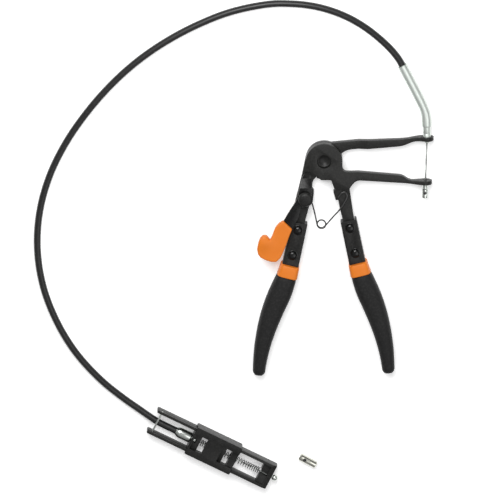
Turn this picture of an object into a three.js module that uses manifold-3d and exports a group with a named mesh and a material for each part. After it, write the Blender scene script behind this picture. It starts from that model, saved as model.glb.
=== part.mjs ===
// Flexible-cable hose clamp pliers, lying on their back on the plane z = 0.
// Squeezing the two grips opens the jaws, which pulls a wire through a sheath
// and draws the rail frame of the clamp head towards its slider.
// Millimetres, +Z up, origin on the pivot's axis at its rear face.
import * as THREE from "three";
import { mergeVertices } from "three/addons/utils/BufferGeometryUtils.js";
import Module from "manifold-3d";

const wasm = await Module();
wasm.setup();

// Clearances and plate levels
const GAP = 0.3;
const PLATE = 5.5;
const REAR_Z = 2;
const FRONT_Z = REAR_Z + PLATE + GAP;
const ARM_Z = 5;
const ARM_TOP = ARM_Z + PLATE;
const JAW_Z = ARM_Z + PLATE / 2;

// Pivot
const BOSS_R = 14.35;
const RECESS_R = 5.6;
const RECESS_DEPTH = 3.4;
const PIVOT_R = 4;
const PIVOT_HEAD_R = 8;
const RELIEF_R = 12.7;

// Jaws: the two eyelets that the wire joins
const UPPER_EYE = new THREE.Vector3(80.3, 17.6, JAW_Z);
const LOWER_EYE = new THREE.Vector3(79.2, -17.9, JAW_Z);
const EYE_R = 5.2;
const EYE_THICK = 3;
const EYE_BORE_R = 3.3;
const STOP_BORE_R = 1.5;

// Handles
const CHANNEL_HALF = 6.3;
const WALL = 1.5;
const CHANNEL_TOP = ARM_TOP + GAP + WALL;
const CHANNEL_BACK = 2.5;
const GRIP_THICK = 17;
const COLLAR_THICK = 16;
const LEFT_DROP = 1.8;
const RIVET_R = 4;
const RIVET_SHANK_R = 2.2;

// Latch
const LATCH_PIVOT = new THREE.Vector2(-14.5, -29.6);
const LATCH_Z = 12.9;
const LATCH_THICK = 2.2;
const LATCH_DROP = 4.6;
const SHOULDER_R = 3.4;
const DOME_Z = 17.1;
const DOME_R = 5.8;
const HAIRPIN_R = 0.65;

// Cable
const WIRE_R = 0.6;
const GUIDE_BORE_R = 2.2;
const NECK_R = 3;
const SLEEVE_R = 3.95;
const SHEATH_R = 2.7;
const SHEATH_SIDES = 10;
const SHEATH_STEPS = 56;
const STOP_R = 2.4;

// Clamp head, along its own axis from the rails' near end
const HEAD_AT = new THREE.Vector3(-134.8, -213.6, 0);
const HEAD_TURN = THREE.MathUtils.degToRad(-26.7);
const HEAD_LENGTH = 104.8;
const END_BLOCK = 3.8;
const RAIL_OUT = 10.4;
const RAIL_THICK = 2.2;
const RAIL_Z = [1.6, 11.4];
const LIP_LENGTH = 6;
const WIRE_Z = 6;
const SLIDER_U = [34, 73.6];
const SLIDER_HALF = 12;
const SLIDER_TOP = 13.3;
const SLIDER_SHEET = 1.3;
const FRONT_SHEET = 1.6;
const WINDOW_HALF = 6.6;
const FORK_END = 41.6;
const SPRING_R = 2.8;
const SPRING_BORE_R = 3.2;
const FERRULE_U = 21;
const PIN_U = 3.9;
const PIN_R = 0.75;

// Materials
function finish(color, roughness, metalness) {
  return new THREE.MeshStandardMaterial({ color, roughness, metalness });
}
const blackSteel = () => finish(0x2e2e2e, 0.45, 0.8);
const zinc = () => finish(0xc9cfca, 0.3, 1);
const aluminium = () => finish(0xb9c2ba, 0.35, 1);
const springSteel = () => finish(0x4a4c4a, 0.35, 1);
const blackRubber = () => finish(0x232323, 0.75, 0);
const orangePlastic = () => finish(0xf28a2e, 0.5, 0);
const sheathPlastic = () => finish(0x2a2a2b, 0.5, 0);

// A closed geometry as a solid, and a solid as a geometry
function solid(geometry) {
  const bare = geometry.clone();
  bare.deleteAttribute("normal");
  bare.deleteAttribute("uv");
  const merged = mergeVertices(bare, 1e-4);
  return new wasm.Manifold(
    new wasm.Mesh({
      numProp: 3,
      vertProperties: merged.attributes.position.array,
      triVerts: new Uint32Array(merged.index.array),
    }),
  );
}

function geometryOf(body) {
  const { vertProperties, triVerts } = body.getMesh();
  const geometry = new THREE.BufferGeometry();
  geometry.setAttribute("position", new THREE.BufferAttribute(vertProperties, 3));
  geometry.setIndex(new THREE.BufferAttribute(triVerts, 1));
  const faceted = geometry.toNonIndexed();
  faceted.computeVertexNormals();
  return faceted;
}

function join(...bodies) {
  return bodies.reduce((whole, body) => whole.add(body));
}

function cut(body, ...tools) {
  return tools.reduce((left, tool) => left.subtract(tool), body);
}

function add(parent, name, body, material) {
  const mesh = new THREE.Mesh(geometryOf(body), material);
  mesh.name = name;
  parent.add(mesh);
  return mesh;
}

// Outlines
function polygon(points) {
  return new THREE.Shape(points.map(([x, y]) => new THREE.Vector2(x, y)));
}

// A closed outline whose corners are rounded by arcs of the radius in each point's third place
function rounded(points) {
  const path = new THREE.Shape();
  const count = points.length;
  points.forEach(([x, y, radius = 0], i) => {
    const corner = new THREE.Vector2(x, y);
    const before = new THREE.Vector2(...points[(i + count - 1) % count].slice(0, 2)).sub(corner);
    const after = new THREE.Vector2(...points[(i + 1) % count].slice(0, 2)).sub(corner);
    const reach = Math.min(radius, before.length() / 2.05, after.length() / 2.05);
    const enter = corner.clone().addScaledVector(before.normalize(), reach);
    const leave = corner.clone().addScaledVector(after.normalize(), reach);
    if (i === 0) path.moveTo(enter.x, enter.y);
    else path.lineTo(enter.x, enter.y);
    if (reach > 0) path.quadraticCurveTo(x, y, leave.x, leave.y);
  });
  return path;
}

// A band along a list of [x, y, half width]: both sides are smooth curves
function band(stations) {
  const centres = stations.map(([x, y]) => new THREE.Vector2(x, y));
  const side = (sign) =>
    stations.map(([x, y, half], i) => {
      const ahead = centres[Math.min(i + 1, centres.length - 1)];
      const behind = centres[Math.max(i - 1, 0)];
      const along = ahead.clone().sub(behind).normalize();
      return new THREE.Vector2(x - sign * along.y * half, y + sign * along.x * half);
    });
  const left = side(1);
  const right = side(-1).reverse();
  const path = new THREE.Shape();
  path.moveTo(left[0].x, left[0].y);
  path.splineThru(left.slice(1));
  path.lineTo(right[0].x, right[0].y);
  path.splineThru(right.slice(1));
  return path;
}

// Solids from outlines
function slab(shape, low, high, bevel = 0, segments = 3) {
  const geometry = new THREE.ExtrudeGeometry(shape, {
    depth: high - low - 2 * bevel,
    curveSegments: segments,
    steps: 1,
    bevelEnabled: bevel > 0,
    bevelThickness: bevel,
    bevelSize: bevel,
    bevelOffset: -bevel,
    bevelSegments: bevel > 1 ? 3 : 1,
  });
  return solid(geometry.translate(0, 0, low + bevel));
}

// An outline drawn in x and z, carried along y
function carriedAlongY(shape, low, high, segments = 6) {
  const options = { depth: high - low, bevelEnabled: false, curveSegments: segments };
  const geometry = new THREE.ExtrudeGeometry(shape, options);
  return solid(geometry.rotateX(Math.PI / 2).translate(0, high, 0));
}

// An outline drawn in y and z, carried along x
function carriedAlongX(shape, low, high) {
  const geometry = new THREE.ExtrudeGeometry(shape, { depth: high - low, bevelEnabled: false });
  return solid(geometry.rotateX(Math.PI / 2).rotateZ(Math.PI / 2).translate(low, 0, 0));
}

function box(x, y, z) {
  const geometry = new THREE.BoxGeometry(x[1] - x[0], y[1] - y[0], z[1] - z[0]);
  return solid(geometry.translate((x[0] + x[1]) / 2, (y[0] + y[1]) / 2, (z[0] + z[1]) / 2));
}

function upright(radius, low, high, x = 0, y = 0, sides = 24) {
  const geometry = new THREE.CylinderGeometry(radius, radius, high - low, sides);
  return solid(geometry.rotateX(Math.PI / 2).translate(x, y, (low + high) / 2));
}

// A turned profile of [radius, distance along the axis], set from a point towards another
function turned(profile, from, to, sides = 20) {
  const points = profile.map(([radius, along]) => new THREE.Vector2(radius, along));
  const up = new THREE.Vector3(0, 1, 0);
  const turn = new THREE.Quaternion().setFromUnitVectors(up, to.clone().sub(from).normalize());
  const geometry = new THREE.LatheGeometry(points, sides).applyQuaternion(turn);
  return solid(geometry.translate(from.x, from.y, from.z));
}

function rod(radius, from, to, sides = 16) {
  const length = from.distanceTo(to);
  return turned([[0, 0], [radius, 0], [radius, length], [0, length]], from, to, sides);
}

function ringSection(radius, sides) {
  const points = Array.from({ length: sides }, (_, i) => {
    const angle = (2 * Math.PI * i) / sides;
    return [radius * Math.cos(angle), radius * Math.sin(angle)];
  });
  return polygon(points);
}

function tube(points, radius, sides, steps) {
  const path = new THREE.CatmullRomCurve3(points, false, "centripetal");
  const options = { extrudePath: path, steps, bevelEnabled: false };
  return solid(new THREE.ExtrudeGeometry(ringSection(radius, sides), options));
}

const vec = (x, y, z) => new THREE.Vector3(x, y, z);

// A jaw's side outline: plate level at the boss, ramp, arm level, then the eyelet's disc
function jawSide(bossZ, rampStart, rampEnd, eye) {
  const waist = eye.x - 15;
  const shoulder = eye.x - 5;
  const path = new THREE.Shape();
  path.moveTo(-20, bossZ);
  path.lineTo(rampStart, bossZ);
  path.lineTo(rampEnd, ARM_Z);
  path.lineTo(waist, ARM_Z);
  path.quadraticCurveTo(shoulder - 4, ARM_Z, shoulder, JAW_Z - EYE_R * 0.8);
  path.absarc(eye.x, JAW_Z, EYE_R, -2.1, 2.1, false);
  path.quadraticCurveTo(shoulder - 4, ARM_TOP, waist, ARM_TOP);
  path.lineTo(rampEnd, ARM_TOP);
  path.lineTo(rampStart, bossZ + PLATE);
  path.lineTo(-20, bossZ + PLATE);
  return path;
}

// A leg's side outline, drawn in y and z
function legSide(bossZ, rampStart, rampEnd, foot) {
  return polygon([
    [20, bossZ],
    [20, bossZ + PLATE],
    [rampStart, bossZ + PLATE],
    [rampEnd, ARM_TOP],
    [foot, ARM_TOP],
    [foot, ARM_Z],
    [rampEnd, ARM_Z],
    [rampStart, bossZ],
  ]);
}

function rivetHoles(side) {
  return rivetPlaces(side).map(([x, y]) => upright(RIVET_SHANK_R + GAP, 0, 20, x, y, 16));
}

// Rear arm: left leg, boss and upper jaw
function rearArm() {
  const jawPlan = rounded([
    [-6, 12.2],
    [33.8, 16.2],
    [63, 17.3, 6],
    [72, 19.1, 4],
    [88, 19.1],
    [88, 16.1],
    [70, 16.1, 4],
    [62, 12, 5],
    [44, 10.3],
    [18, 8.2, 5],
    [12, 4],
    [0, 0],
  ]);
  const jaw = slab(jawPlan, 0, 15).intersect(
    carriedAlongY(jawSide(REAR_Z, 27, 34, UPPER_EYE), -5, 25),
  );
  const legPlan = rounded([
    [-BOSS_R, 2],
    [-17.5, -14.3, 6],
    [-23.4, -36, 8],
    [-23.9, -53.8, 6],
    [-29.3, -81],
    [-21.5, -82.6],
    [-16.1, -54.6],
    [-12.3, -40, 4],
    [-11, -34.4, 1.5],
    [-8.7, -32.6, 1],
    [-7.8, -24.4, 1],
    [-9.3, -22.6, 1],
    [-9.1, -17, 3],
    [-4, -12],
    [0, 0],
  ]);
  const leg = slab(legPlan, 0, 15).intersect(
    carriedAlongX(legSide(REAR_Z, -17.5, -23, -90), -40, 5),
  );
  const boss = upright(BOSS_R, REAR_Z, REAR_Z + PLATE, 0, 0, 48);
  const eye = UPPER_EYE;
  const bore = rod(EYE_BORE_R, vec(eye.x, eye.y - 5, eye.z), vec(eye.x, eye.y + 5, eye.z));
  return cut(
    join(boss, leg, jaw),
    upright(PIVOT_R + 0.2, 0, 20, 0, 0, 32),
    upright(RIVET_SHANK_R + GAP, 0, 20, LATCH_PIVOT.x, LATCH_PIVOT.y, 16),
    bore,
    ...rivetHoles(-1),
  );
}

// The boss of the front arm has a relief in its rim that the latch pawl drops into
function latchRelief() {
  const sector = new THREE.Shape();
  const from = THREE.MathUtils.degToRad(196);
  const to = THREE.MathUtils.degToRad(246);
  sector.absarc(0, 0, BOSS_R + 4, from, to, false);
  sector.absarc(0, 0, RELIEF_R, to, from, true);
  sector.closePath();
  return slab(sector, FRONT_Z - 1, FRONT_Z + PLATE + 1, 0, 8);
}

// Front arm: right leg, boss and lower jaw
function frontArm() {
  const jawPlan = rounded([
    [0, 0],
    [14.2, 0],
    [14.6, -8.2, 3],
    [61.5, -12.3, 3],
    [66.5, -16.4, 3],
    [88, -16.4],
    [88, -19.4],
    [74, -19.4, 3],
    [64, -18.3],
    [24.5, -15.8, 4],
    [19.8, -22],
    [8, -22],
  ]);
  const jaw = slab(jawPlan, 0, 15).intersect(
    carriedAlongY(jawSide(FRONT_Z, 20, 27, LOWER_EYE), -25, 5),
  );
  const legPlan = rounded([
    [0, 0],
    [-3.6, -12],
    [-3, -15, 1],
    [5.6, -15, 3],
    [9, -17, 2],
    [9.6, -22.8, 1],
    [7.1, -24.9, 1],
    [9.2, -32.3, 1],
    [11.2, -31.6, 1],
    [12.1, -38, 3],
    [15.5, -51.6],
    [21.5, -80.8],
    [29.7, -79.2],
    [24.1, -52],
    [19.8, -22.4],
    [19, -14],
    [8, -8],
  ]);
  const leg = slab(legPlan, 0, 15).intersect(
    carriedAlongX(legSide(FRONT_Z, -16.5, -22.5, -88), -5, 40),
  );
  const boss = upright(BOSS_R, FRONT_Z, FRONT_Z + PLATE, 0, 0, 48);
  const eye = LOWER_EYE;
  const bore = rod(STOP_BORE_R, vec(eye.x, eye.y - 5, eye.z), vec(eye.x, eye.y + 5, eye.z), 12);
  const top = FRONT_Z + PLATE;
  return cut(
    join(boss, leg, jaw),
    upright(PIVOT_R + 0.2, 0, 20, 0, 0, 32),
    upright(RECESS_R, top - RECESS_DEPTH, 20, 0, 0, 32),
    latchRelief(),
    bore,
    ...rivetHoles(1),
  );
}

function pivotRivet() {
  const floor = FRONT_Z + PLATE - RECESS_DEPTH;
  const profile = [
    [0, 0],
    [PIVOT_HEAD_R - 0.5, 0],
    [PIVOT_HEAD_R, 0.5],
    [PIVOT_HEAD_R, REAR_Z - GAP],
    [PIVOT_R, REAR_Z - GAP],
    [PIVOT_R, floor + 0.2],
    [RECESS_R - 0.6, floor + 0.2],
    [RECESS_R - 1, floor + 0.8],
    [0, floor + 0.9],
  ];
  return turned(profile, vec(0, 0, 0), vec(0, 0, 1), 32);
}

// Handles. Each list is drawn for the right side; the left one is mirrored and lies a little lower.
function onSide(side, points) {
  const drop = side < 0 ? LEFT_DROP : 0;
  return points.map(([x, y, ...rest]) => [side * x, y - drop, ...rest]);
}

function rivetPlaces(side) {
  return onSide(side, [
    [20.4, -54.3],
    [24.6, -74.8],
  ]);
}

function channelPlan(side, inset) {
  const half = CHANNEL_HALF - inset;
  return band(
    onSide(side, [
      [19.1, -48.6, half],
      [22.8, -66.5, half],
      [26.5, -84.5, half],
      [30.8, -99, half - 1.6],
      [36, -112.5, half - 2],
      [40.6, -125, half - 2.4],
    ]),
  );
}

function handleChannel(side) {
  const outer = slab(channelPlan(side, 0), CHANNEL_BACK, CHANNEL_TOP, 0, 10);
  const inner = slab(channelPlan(side, WALL), CHANNEL_BACK - 1, ARM_TOP + GAP, 0, 10);
  return cut(outer, inner, ...rivetHoles(side));
}

// The grip's own line, from under the collar to the rounded tip
function gripPlan(side) {
  return band(
    onSide(side, [
      [29, -93, 8.1],
      [34.2, -106.5, 9],
      [38.9, -118, 8.7],
      [43.2, -130.5, 7.9],
      [46.6, -143, 6.9],
      [49, -155, 6],
      [50.4, -166, 5.2],
      [50.9, -171.5, 4.4],
      [51.1, -174.9, 3.2],
    ]),
  );
}

function handlePocket(side) {
  return slab(channelPlan(side, -GAP), CHANNEL_BACK - GAP, CHANNEL_TOP + GAP, 0, 10);
}

function grip(side) {
  return cut(slab(gripPlan(side), 0, GRIP_THICK, 2.4, 4), handlePocket(side));
}

function collar(side) {
  const plan = band(
    onSide(side, [
      [26.6, -83.9, 7.3],
      [27.5, -87.8, 7.6],
      [28.5, -91.3, 8],
    ]),
  );
  const low = (GRIP_THICK - COLLAR_THICK) / 2;
  return cut(slab(plan, low, low + COLLAR_THICK, 0, 4), handlePocket(side));
}

function domedRivet([x, y], headR, headZ, shankR, tailZ) {
  const headHeight = headR * 0.55;
  const tailR = shankR + 1;
  const profile = [
    [0, tailZ],
    [tailR, tailZ],
    [tailR, tailZ + 1],
    [shankR, tailZ + 1],
    [shankR, headZ],
    [headR, headZ],
    [headR * 0.93, headZ + headHeight * 0.5],
    [headR * 0.6, headZ + headHeight * 0.86],
    [0, headZ + headHeight],
  ];
  return turned(profile, vec(x, y, 0), vec(x, y, 1), 20);
}

// Latch: a cranked pawl beside the boss's rim, and a thumb lever with an orange cap
function latchPlan() {
  return rounded([
    [-9.9, -12.3, 0.4],
    [-11.5, -9.9, 0.4],
    [-14.2, -9.2, 1.5],
    [-17, -13, 1.5],
    [-19.6, -24, 3],
    [-21.5, -31, 3],
    [-27.2, -40, 4],
    [-31.5, -47.5],
    [-37, -55, 2],
    [-33, -62, 2],
    [-25, -53.5],
    [-20.3, -46, 3],
    [-18.6, -39, 2],
    [-9.2, -33, 5],
    [-9.4, -25, 4],
    [-10.4, -18, 2],
  ]);
}

function latchSide(low, high) {
  return polygon([
    [-5, low - LATCH_DROP],
    [-5, high - LATCH_DROP],
    [-14.5, high - LATCH_DROP],
    [-21, high],
    [-90, high],
    [-90, low],
    [-21, low],
    [-14.5, low - LATCH_DROP],
  ]);
}

function latchLever() {
  const side = latchSide(LATCH_Z, LATCH_Z + LATCH_THICK);
  const plate = slab(latchPlan(), 0, 20, 0, 5).intersect(carriedAlongX(side, -60, 0));
  return cut(plate, upright(SHOULDER_R + GAP, 0, 20, LATCH_PIVOT.x, LATCH_PIVOT.y, 20));
}

function latchCap() {
  const plan = rounded([
    [-31.8, -47.3, 1],
    [-25, -54, 1],
    [-27.2, -60, 4],
    [-29.3, -66, 5],
    [-32.2, -73.5, 6],
    [-35.6, -79.6, 5],
    [-39.6, -81.2, 5],
    [-50.3, -77.2, 6],
    [-52.6, -69.5, 6],
    [-50, -60, 6],
    [-44.5, -58.9, 3],
    [-42.2, -63.6, 2],
    [-39.7, -57.2, 3],
    [-36.8, -50.5, 5],
  ]);
  const cap = slab(plan, LATCH_Z - 0.15, LATCH_Z + 5, 0, 4);
  const pocket = slab(latchPlan(), LATCH_Z - 3, LATCH_Z + LATCH_THICK + GAP, 0, 5);
  const wide = [-0.25, 0, 0.25];
  const pockets = wide.flatMap((x) => wide.map((y) => pocket.translate(x, y, 0)));
  return cut(cap, ...pockets);
}

function latchRivet() {
  const profile = [
    [0, 3.4],
    [3.4, 3.4],
    [3.4, ARM_Z - GAP],
    [RIVET_SHANK_R, ARM_Z - GAP],
    [RIVET_SHANK_R, ARM_TOP + GAP],
    [SHOULDER_R, ARM_TOP + GAP],
    [SHOULDER_R, DOME_Z],
    [DOME_R, DOME_Z],
    [DOME_R, DOME_Z + 0.8],
    [DOME_R * 0.86, DOME_Z + 1.8],
    [DOME_R * 0.5, DOME_Z + 2.4],
    [0, DOME_Z + 2.6],
  ];
  const { x, y } = LATCH_PIVOT;
  return turned(profile, vec(x, y, 0), vec(x, y, 1), 24);
}

function coil(centre, radius, from, to, low, high, steps) {
  return Array.from({ length: steps + 1 }, (_, i) => {
    const angle = THREE.MathUtils.degToRad(from + ((to - from) * i) / steps);
    const height = low + ((high - low) * i) / steps;
    return vec(centre.x + radius * Math.cos(angle), centre.y + radius * Math.sin(angle), height);
  });
}

function latchSpring() {
  const turns = coil(LATCH_PIVOT, 4.4, 40, 370, ARM_TOP + 0.75, ARM_TOP + 1.7, 16);
  return tube(turns, 0.4, 6, 40);
}

// Hairpin spring: a loop round the latch rivet, a coil, and a hooked end on the front arm
function hairpinSpring() {
  const eyeZ = LATCH_Z + LATCH_THICK + 1;
  const loop = coil(LATCH_PIVOT, 4.45, 60, 340, eyeZ, eyeZ, 12);
  const turns = coil(new THREE.Vector2(-2, -50.7), 3.3, 195, 663, 14.4, 12.2, 24);
  const hook = [
    vec(8, -44.2, 11.7),
    vec(12.1, -39.7, 11.45),
    vec(16.4, -32.6, 11.45),
    vec(17.9, -28.6, 11.45),
    vec(16.8, -25.4, 11.45),
    vec(14.2, -25.6, 11.45),
    vec(11, -29.4, 11.45),
  ];
  return tube([...loop, vec(-7.6, -40, 15), ...turns, ...hook], HAIRPIN_R, 6, 130);
}

// Cable guide: neck in the upper eyelet, and the bent sleeve above it
const GUIDE_LINE = [
  [80.1, 27.2, 7.75],
  [79.8, 33, 7.75],
  [78.9, 39, 7.6],
  [76.3, 45.5, 7.2],
  [71.6, 55, 6.3],
  [66.3, 65.3, 5.4],
  [60.9, 75.7, 4.9],
];

function guideNeck() {
  const from = UPPER_EYE;
  const seat = EYE_THICK / 2 + GAP;
  const profile = [
    [1.3, -3.4],
    [1.8, -3.4],
    [2.1, -seat - 0.2],
    [NECK_R, -seat + 0.6],
    [NECK_R, 9.2],
    [GUIDE_BORE_R, 9.2],
    [GUIDE_BORE_R, 1],
    [1.3, -1.2],
    [1.3, -3.4],
  ];
  return turned(profile, from, vec(80.1, 27.2, 7.75), 20);
}

function cableSleeve() {
  const line = GUIDE_LINE.map(([x, y, z]) => vec(x, y, z));
  const bore = line.slice(0, 4);
  bore[0] = vec(80.15, 25, 7.75);
  return cut(tube(line, SLEEVE_R, 16, 22), tube(bore, GUIDE_BORE_R, 10, 8));
}

// Sheath: from the sleeve round the big loop to the clamp head
const SHEATH_LINE = [
  [60.7, 76, 4.9],
  [58.4, 80.2, 4.6],
  [52.6, 87.8, 4.1],
  [43.6, 96.6, 3.4],
  [32.4, 105.6, 2.9],
  [19.1, 113.7, 2.75],
  [4.2, 119.9, 2.75],
  [-11.2, 123.7, 2.75],
  [-26.9, 125.2, 2.75],
  [-42.6, 124.9, 2.75],
  [-72.8, 118.6, 2.75],
  [-100.5, 107.3, 2.75],
  [-125.9, 93, 2.75],
  [-148.4, 76.4, 2.75],
  [-168.6, 57, 2.75],
  [-186.5, 35.4, 2.75],
  [-202.2, 11.6, 2.75],
  [-214.7, -14.8, 2.75],
  [-222.5, -43.7, 2.75],
  [-224.5, -74, 2.75],
  [-220.3, -104.3, 2.75],
  [-210.1, -132.9, 2.75],
  [-195, -159.2, 2.75],
  [-175.5, -181.7, 2.75],
  [-159.3, -195.6, 2.9],
  [-145, -206, 3.7],
  [-131, -215.4, 5.2],
  [-116.31, -222.9, 6],
];

function cableSheath() {
  const line = SHEATH_LINE.map(([x, y, z]) => vec(x, y, z));
  return tube(line, SHEATH_R, SHEATH_SIDES, SHEATH_STEPS);
}

// The wire's bare run between the jaws, with its stop under the lower eyelet
function wireDirection() {
  return UPPER_EYE.clone().sub(LOWER_EYE).normalize();
}

function jawWire() {
  const along = wireDirection();
  const from = LOWER_EYE.clone().addScaledVector(along, -4);
  return rod(WIRE_R, from, UPPER_EYE.clone().addScaledVector(along, 18.6), 10);
}

function wireStop() {
  const along = wireDirection();
  const from = LOWER_EYE.clone().addScaledVector(along, -2.1);
  const profile = [
    [0, 2.4],
    [WIRE_R + GAP, 2.4],
    [WIRE_R + GAP, 0],
    [1.9, 0],
    [1.9, 3.4],
    [STOP_R, 3.9],
    [STOP_R, 10.6],
    [STOP_R - 0.6, 11.2],
    [0, 11.2],
  ];
  const body = turned(profile, from, from.clone().sub(along), 20);
  const screw = stopScrewSeat();
  return cut(body, rod(1.3, screw, vec(screw.x, screw.y, 12), 12));
}

function stopScrewSeat() {
  return LOWER_EYE.clone().addScaledVector(wireDirection(), -8.6);
}

function wireStopScrew() {
  const seat = stopScrewSeat();
  const low = vec(seat.x, seat.y, seat.z + 0.4);
  return rod(1, low, vec(seat.x, seat.y, seat.z + STOP_R - 0.4), 12);
}

// Clamp head, built along x from the rails' near end and turned into place
function railFrame() {
  const inner = RAIL_OUT - RAIL_THICK;
  const blockU = HEAD_LENGTH - END_BLOCK;
  const railPlan = (side) =>
    rounded([
      [0, side * RAIL_OUT, 1],
      [blockU + 1, side * RAIL_OUT],
      [blockU + 1, side * inner],
      [0, side * inner, 1],
    ]);
  const rails = [1, -1].map((side) => slab(railPlan(side), ...RAIL_Z));
  const endSide = polygon([
    [blockU, RAIL_Z[0]],
    [HEAD_LENGTH, RAIL_Z[0]],
    [HEAD_LENGTH, RAIL_Z[1] - 1.6],
    [blockU + 0.4, RAIL_Z[1]],
    [blockU, RAIL_Z[1]],
  ]);
  const end = carriedAlongY(endSide, -RAIL_OUT, RAIL_OUT);
  const lipU = blockU - LIP_LENGTH;
  const lipPlan = rounded([
    [lipU, -inner - 0.5, 1],
    [blockU + 0.5, -inner - 0.5],
    [blockU + 0.5, inner + 0.5],
    [lipU, inner + 0.5, 1],
    [lipU, 1.2, 2.4],
    [lipU + 2.4, 0, 2],
    [lipU, -1.2, 2.4],
  ]);
  const lip = slab(lipPlan, RAIL_Z[0], 8.6, 0, 6);
  const slot = box([lipU - 1, blockU], [-1, 1], [WIRE_Z - 1, 12]);
  const hole = rod(0.95, vec(lipU - 1, 0, WIRE_Z), vec(HEAD_LENGTH + 1, 0, WIRE_Z), 12);
  const pin = rod(PIN_R + GAP, vec(PIN_U, -15, 10), vec(PIN_U, 15, 10), 12);
  return cut(join(...rails, end, cut(lip, slot)), hole, pin);
}

function crossPin() {
  const reach = RAIL_OUT + 0.2;
  return rod(PIN_R, vec(PIN_U, -reach, 10), vec(PIN_U, reach, 10), 12);
}

// The slider wraps the rails: face sheet with windows, side flanges with inward lips,
// a fork that seats the ferrule, a guide wall and the recessed jaw block
function headSlider() {
  const [near, far] = SLIDER_U;
  const under = SLIDER_TOP - FRONT_SHEET;
  const inside = RAIL_OUT - RAIL_THICK - GAP;
  const face = slab(
    rounded([
      [near, -SLIDER_HALF, 1],
      [far, -SLIDER_HALF, 1],
      [far, SLIDER_HALF, 1],
      [near, SLIDER_HALF, 1],
    ]),
    under,
    SLIDER_TOP,
    0.4,
  );
  const flanges = [1, -1].map((side) => {
    const wall = [side * SLIDER_HALF, side * (SLIDER_HALF - SLIDER_SHEET)].sort((a, b) => a - b);
    const lip = [side * SLIDER_HALF, side * (SLIDER_HALF - 3.4)].sort((a, b) => a - b);
    return join(
      box([near + 0.4, far - 0.4], wall, [0, under + 0.5]),
      box([near + 0.4, far - 0.4], lip, [0, SLIDER_SHEET]),
    );
  });
  const fork = join(
    box([near, FORK_END], [-inside, inside], [2, 9.4]),
    box([near, near + 1.6], [-inside, inside], [2, under + 0.5]),
  );
  const wall = join(
    box([57.4, 63.2], [-inside, inside], [2, 9.4]),
    box([57.4, 59.3], [-inside, inside], [9, under + 0.5]),
  );
  const jaw = join(
    box([68.2, far], [-inside, inside], [2, 10.2]),
    box([68.2, far], [-inside, -WINDOW_HALF], [9, under + 0.5]),
    box([68.2, far], [WINDOW_HALF, inside], [9, under + 0.5]),
  );
  const windows = [
    box([near + 1.6, 46], [-WINDOW_HALF, WINDOW_HALF], [9.4, 20]),
    box([59.3, far + 1], [-WINDOW_HALF, WINDOW_HALF], [10.2, 20]),
  ];
  const nose = join(
    rod(2.9, vec(near - 1, 0, WIRE_Z), vec(38.5, 0, WIRE_Z), 16),
    box([near - 1, 38.5], [-1.6, 1.6], [WIRE_Z, 9.41]),
  );
  const tunnel = rod(1, vec(30, 0, WIRE_Z), vec(50, 0, WIRE_Z), 12);
  const springWay = rod(SPRING_BORE_R, vec(50, 0, WIRE_Z), vec(80, 0, WIRE_Z), 16);
  return cut(join(face, ...flanges, fork, wall, jaw), ...windows, nose, tunnel, springWay);
}

function headFerrule() {
  const start = FERRULE_U;
  const bore = WIRE_R + GAP;
  const profile = [
    [bore, 0],
    [3, 0],
    [4.3, 3],
    [4.3, 12.7],
    [2.6, 12.7],
    [2.6, 17],
    [bore, 17],
    [bore, 0],
  ];
  return turned(profile, vec(start, 0, WIRE_Z), vec(start + 1, 0, WIRE_Z), 20);
}

function headSpring() {
  const lipU = HEAD_LENGTH - END_BLOCK - LIP_LENGTH;
  const start = FORK_END + GAP;
  const length = lipU - GAP - start;
  const inner = SPRING_R - 1.1;
  const profile = [
    [inner, 0],
    [SPRING_R, 0],
    [SPRING_R, length],
    [inner, length],
    [inner, 0],
  ];
  return turned(profile, vec(start, 0, WIRE_Z), vec(start + 1, 0, WIRE_Z), 14);
}

function headWire() {
  return rod(WIRE_R, vec(FORK_END, 0, WIRE_Z), vec(HEAD_LENGTH + 1, 0, WIRE_Z), 10);
}

function wireBall() {
  const profile = [
    [0, 1],
    [WIRE_R + 0.2, 1],
    [WIRE_R + 0.2, 0],
    [1.7, 0],
    [1.7, 0.7],
    [2.3, 1.2],
    [2.6, 2.4],
    [2.3, 3.9],
    [1.3, 4.9],
    [0, 5.2],
  ];
  const start = HEAD_LENGTH + GAP;
  return turned(profile, vec(start, 0, WIRE_Z), vec(start + 1, 0, WIRE_Z), 16);
}

// Spare barrel stop, lying loose beside the head
const SPARE_FROM = vec(-18.7, -245.3, 3);
const SPARE_TO = vec(-5.9, -252.4, 3);

function spareStop() {
  const length = SPARE_FROM.distanceTo(SPARE_TO);
  const profile = [
    [0, 2.2],
    [0.9, 2.2],
    [0.9, 0],
    [2.5, 0],
    [3, 0.5],
    [3, length - 0.6],
    [2.4, length],
    [0, length],
  ];
  const body = turned(profile, SPARE_FROM, SPARE_TO, 24);
  const seat = spareScrewSeat();
  return cut(body, rod(1.4, seat, vec(seat.x, seat.y, 9), 12));
}

function spareScrewSeat() {
  return SPARE_FROM.clone().lerp(SPARE_TO, 0.3);
}

function spareScrew() {
  const seat = spareScrewSeat();
  return rod(1.1, vec(seat.x, seat.y, seat.z + 0.4), vec(seat.x, seat.y, seat.z + 2.4), 12);
}

// The whole tool
const group = new THREE.Group();

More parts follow.
